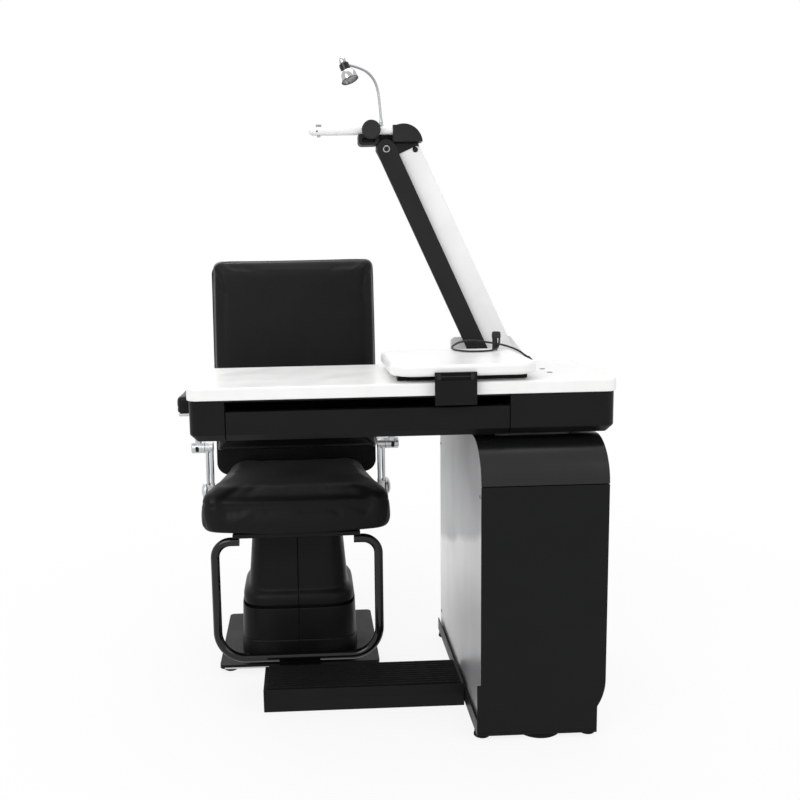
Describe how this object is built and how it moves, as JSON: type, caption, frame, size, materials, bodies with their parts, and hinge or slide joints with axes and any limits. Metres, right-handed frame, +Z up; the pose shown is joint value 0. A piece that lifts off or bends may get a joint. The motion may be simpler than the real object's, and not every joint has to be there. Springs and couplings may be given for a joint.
{
  "type": "optometry combination table",
  "caption": "Eye examination unit: a lifting instrument table on a pillar cabinet with a folding arm and lamp, joined by a foot step to a lifting patient chair.",
  "frame": {"origin": "middle of the overall box on the floor", "axes": "+X to the viewer's right along the table, -Y towards the viewer who faces the cabinet's front, +Z up"},
  "size_m": [1.13, 0.88, 1.7554],
  "materials": {
    "black_steel": "satin",
    "white_steel": "satin",
    "silver_steel": "satin",
    "plated_steel": "satin",
    "chrome": "polished",
    "white_plastic": "gloss",
    "black_plastic": "matte",
    "black_gloss": "gloss",
    "grey_plastic": "matte",
    "black_rubber": "matte",
    "black_leather": "semi-gloss",
    "lens_glass": "polished",
    "panel_board": "gloss"
  },
  "bodies": {
    "base": {"cabinet_base": "black_steel", "feet": "black_rubber", "left_panel": "silver_steel", "right_panel": "silver_steel", "front_panel": "black_steel", "rear_panel": "black_steel", "top_cover": "black_steel", "cabinet_frame": "black_steel", "panel_screws": "plated_steel", "lift_outer": "plated_steel", "foot_step": "black_steel", "step_tread": "black_rubber", "chair_base": "black_steel", "chair_post_outer": "plated_steel", "column_cover_lower": "black_plastic"},
    "table": {"lift_inner": "plated_steel", "table_housing": "black_plastic", "table_top": "panel_board", "top_plugs": "grey_plastic", "drawer_runners": "plated_steel", "tray_guides": "black_steel", "arm_bracket": "black_steel", "arm_cheek": "silver_steel", "lower_pins": "plated_steel", "cable_gland": "black_rubber", "instrument_cable": "black_rubber", "cable_plug": "black_plastic"},
    "drawer": {"drawer_front": "black_plastic", "drawer_box": "black_plastic"},
    "tray": {"tray_runners": "black_steel", "instrument_tray": "white_plastic", "tray_bracket": "black_plastic", "bracket_clip": "grey_plastic"},
    "front_arm": {"front_link": "black_steel"},
    "rear_arm": {"rear_link": "white_steel"},
    "arm_head_block": {"arm_head": "black_steel", "upper_pins": "plated_steel", "ring_cap": "chrome", "clamp_hub": "black_plastic"},
    "knob": {"clamp_knob": "black_gloss"},
    "hanging_tube": {"support_tube": "white_steel", "neck_ferrule": "plated_steel"},
    "hanging_screw": {"tip_screw": "plated_steel"},
    "lamp_arm": {"gooseneck": "chrome"},
    "lamp": {"lamp_collar": "black_plastic", "lamp_shade": "chrome", "lamp_lens": "lens_glass"},
    "seat": {"chair_post_inner": "plated_steel", "column_cover_upper": "black_plastic", "seat_frame": "black_steel", "foot_loop": "black_steel", "seat_cushion": "black_leather", "arm_posts": "chrome"},
    "back": {"back_shell": "black_plastic", "back_cushion": "black_leather", "back_bars": "black_steel"},
    "left_armrest": {"armrest_left": "chrome", "arm_pad_left": "black_leather"},
    "right_armrest": {"armrest_right": "chrome", "arm_pad_right": "black_leather"}
  },
  "joints": [
    {"name": "table_lift", "type": "slide", "parent": "base", "child": "table", "axis": [0, 0, 1], "range_m": [0, 0.16]},
    {"name": "drawer_slide", "type": "slide", "parent": "table", "child": "drawer", "axis": [0, -1, 0], "range_m": [0, 0.22]},
    {"name": "tray_slide", "type": "slide", "parent": "table", "child": "tray", "axis": [1, 0, 0], "range_m": [-0.12, 0.12]},
    {"name": "arm_tilt", "type": "hinge", "parent": "table", "child": "front_arm", "pos_m": [0.334, 0.081, 0.88], "axis": [0, 1, 0], "range_deg": [-20, 20]},
    {"name": "rear_arm_tilt", "type": "hinge", "parent": "table", "child": "rear_arm", "pos_m": [0.419, 0.107, 0.88], "axis": [0, 1, 0], "range_deg": [-20, 20]},
    {"name": "head_level", "type": "hinge", "parent": "front_arm", "child": "arm_head_block", "pos_m": [0.04994, 0.081, 1.50332], "axis": [0, 1, 0], "range_deg": [-20, 20]},
    {"name": "knob_turn", "type": "hinge", "parent": "arm_head_block", "child": "knob", "pos_m": [0.00694, 0.058, 1.55632], "axis": [0, 1, 0], "continuous": true},
    {"name": "tube_roll", "type": "hinge", "parent": "arm_head_block", "child": "hanging_tube", "pos_m": [-0.05006, 0.085, 1.55632], "axis": [1, 0, 0], "range_deg": [-20, 20]},
    {"name": "screw_turn", "type": "hinge", "parent": "hanging_tube", "child": "hanging_screw", "pos_m": [-0.14006, 0.085, 1.55632], "axis": [0, 0, 1], "continuous": true},
    {"name": "lamp_swivel", "type": "hinge", "parent": "hanging_tube", "child": "lamp_arm", "pos_m": [0.03694, 0.085, 1.57632], "axis": [0, 0, 1], "range_deg": [-120, 120]},
    {"name": "lamp_tilt", "type": "hinge", "parent": "lamp_arm", "child": "lamp", "pos_m": [-0.05806, 0.085, 1.73732], "axis": [-0.9771, 0, 0.2128], "range_deg": [-40, 40]},
    {"name": "chair_lift", "type": "slide", "parent": "base", "child": "seat", "axis": [0, 0, 1], "range_m": [0, 0.14]},
    {"name": "back_recline", "type": "hinge", "parent": "seat", "child": "back", "pos_m": [-0.23, 0.378, 0.455], "axis": [-1, 0, 0], "range_deg": [0, 30]},
    {"name": "left_armrest_flip", "type": "hinge", "parent": "seat", "child": "left_armrest", "pos_m": [-0.52, 0.172, 0.637], "axis": [-1, 0, 0], "range_deg": [0, 90]},
    {"name": "right_armrest_flip", "type": "hinge", "parent": "seat", "child": "right_armrest", "pos_m": [0.06, 0.172, 0.637], "axis": [-1, 0, 0], "range_deg": [0, 90]}
  ],
  "couplings": [
    {"joint": "rear_arm_tilt", "follows": "arm_tilt", "ratio": 1},
    {"joint": "head_level", "follows": "arm_tilt", "ratio": -1}
  ]
}
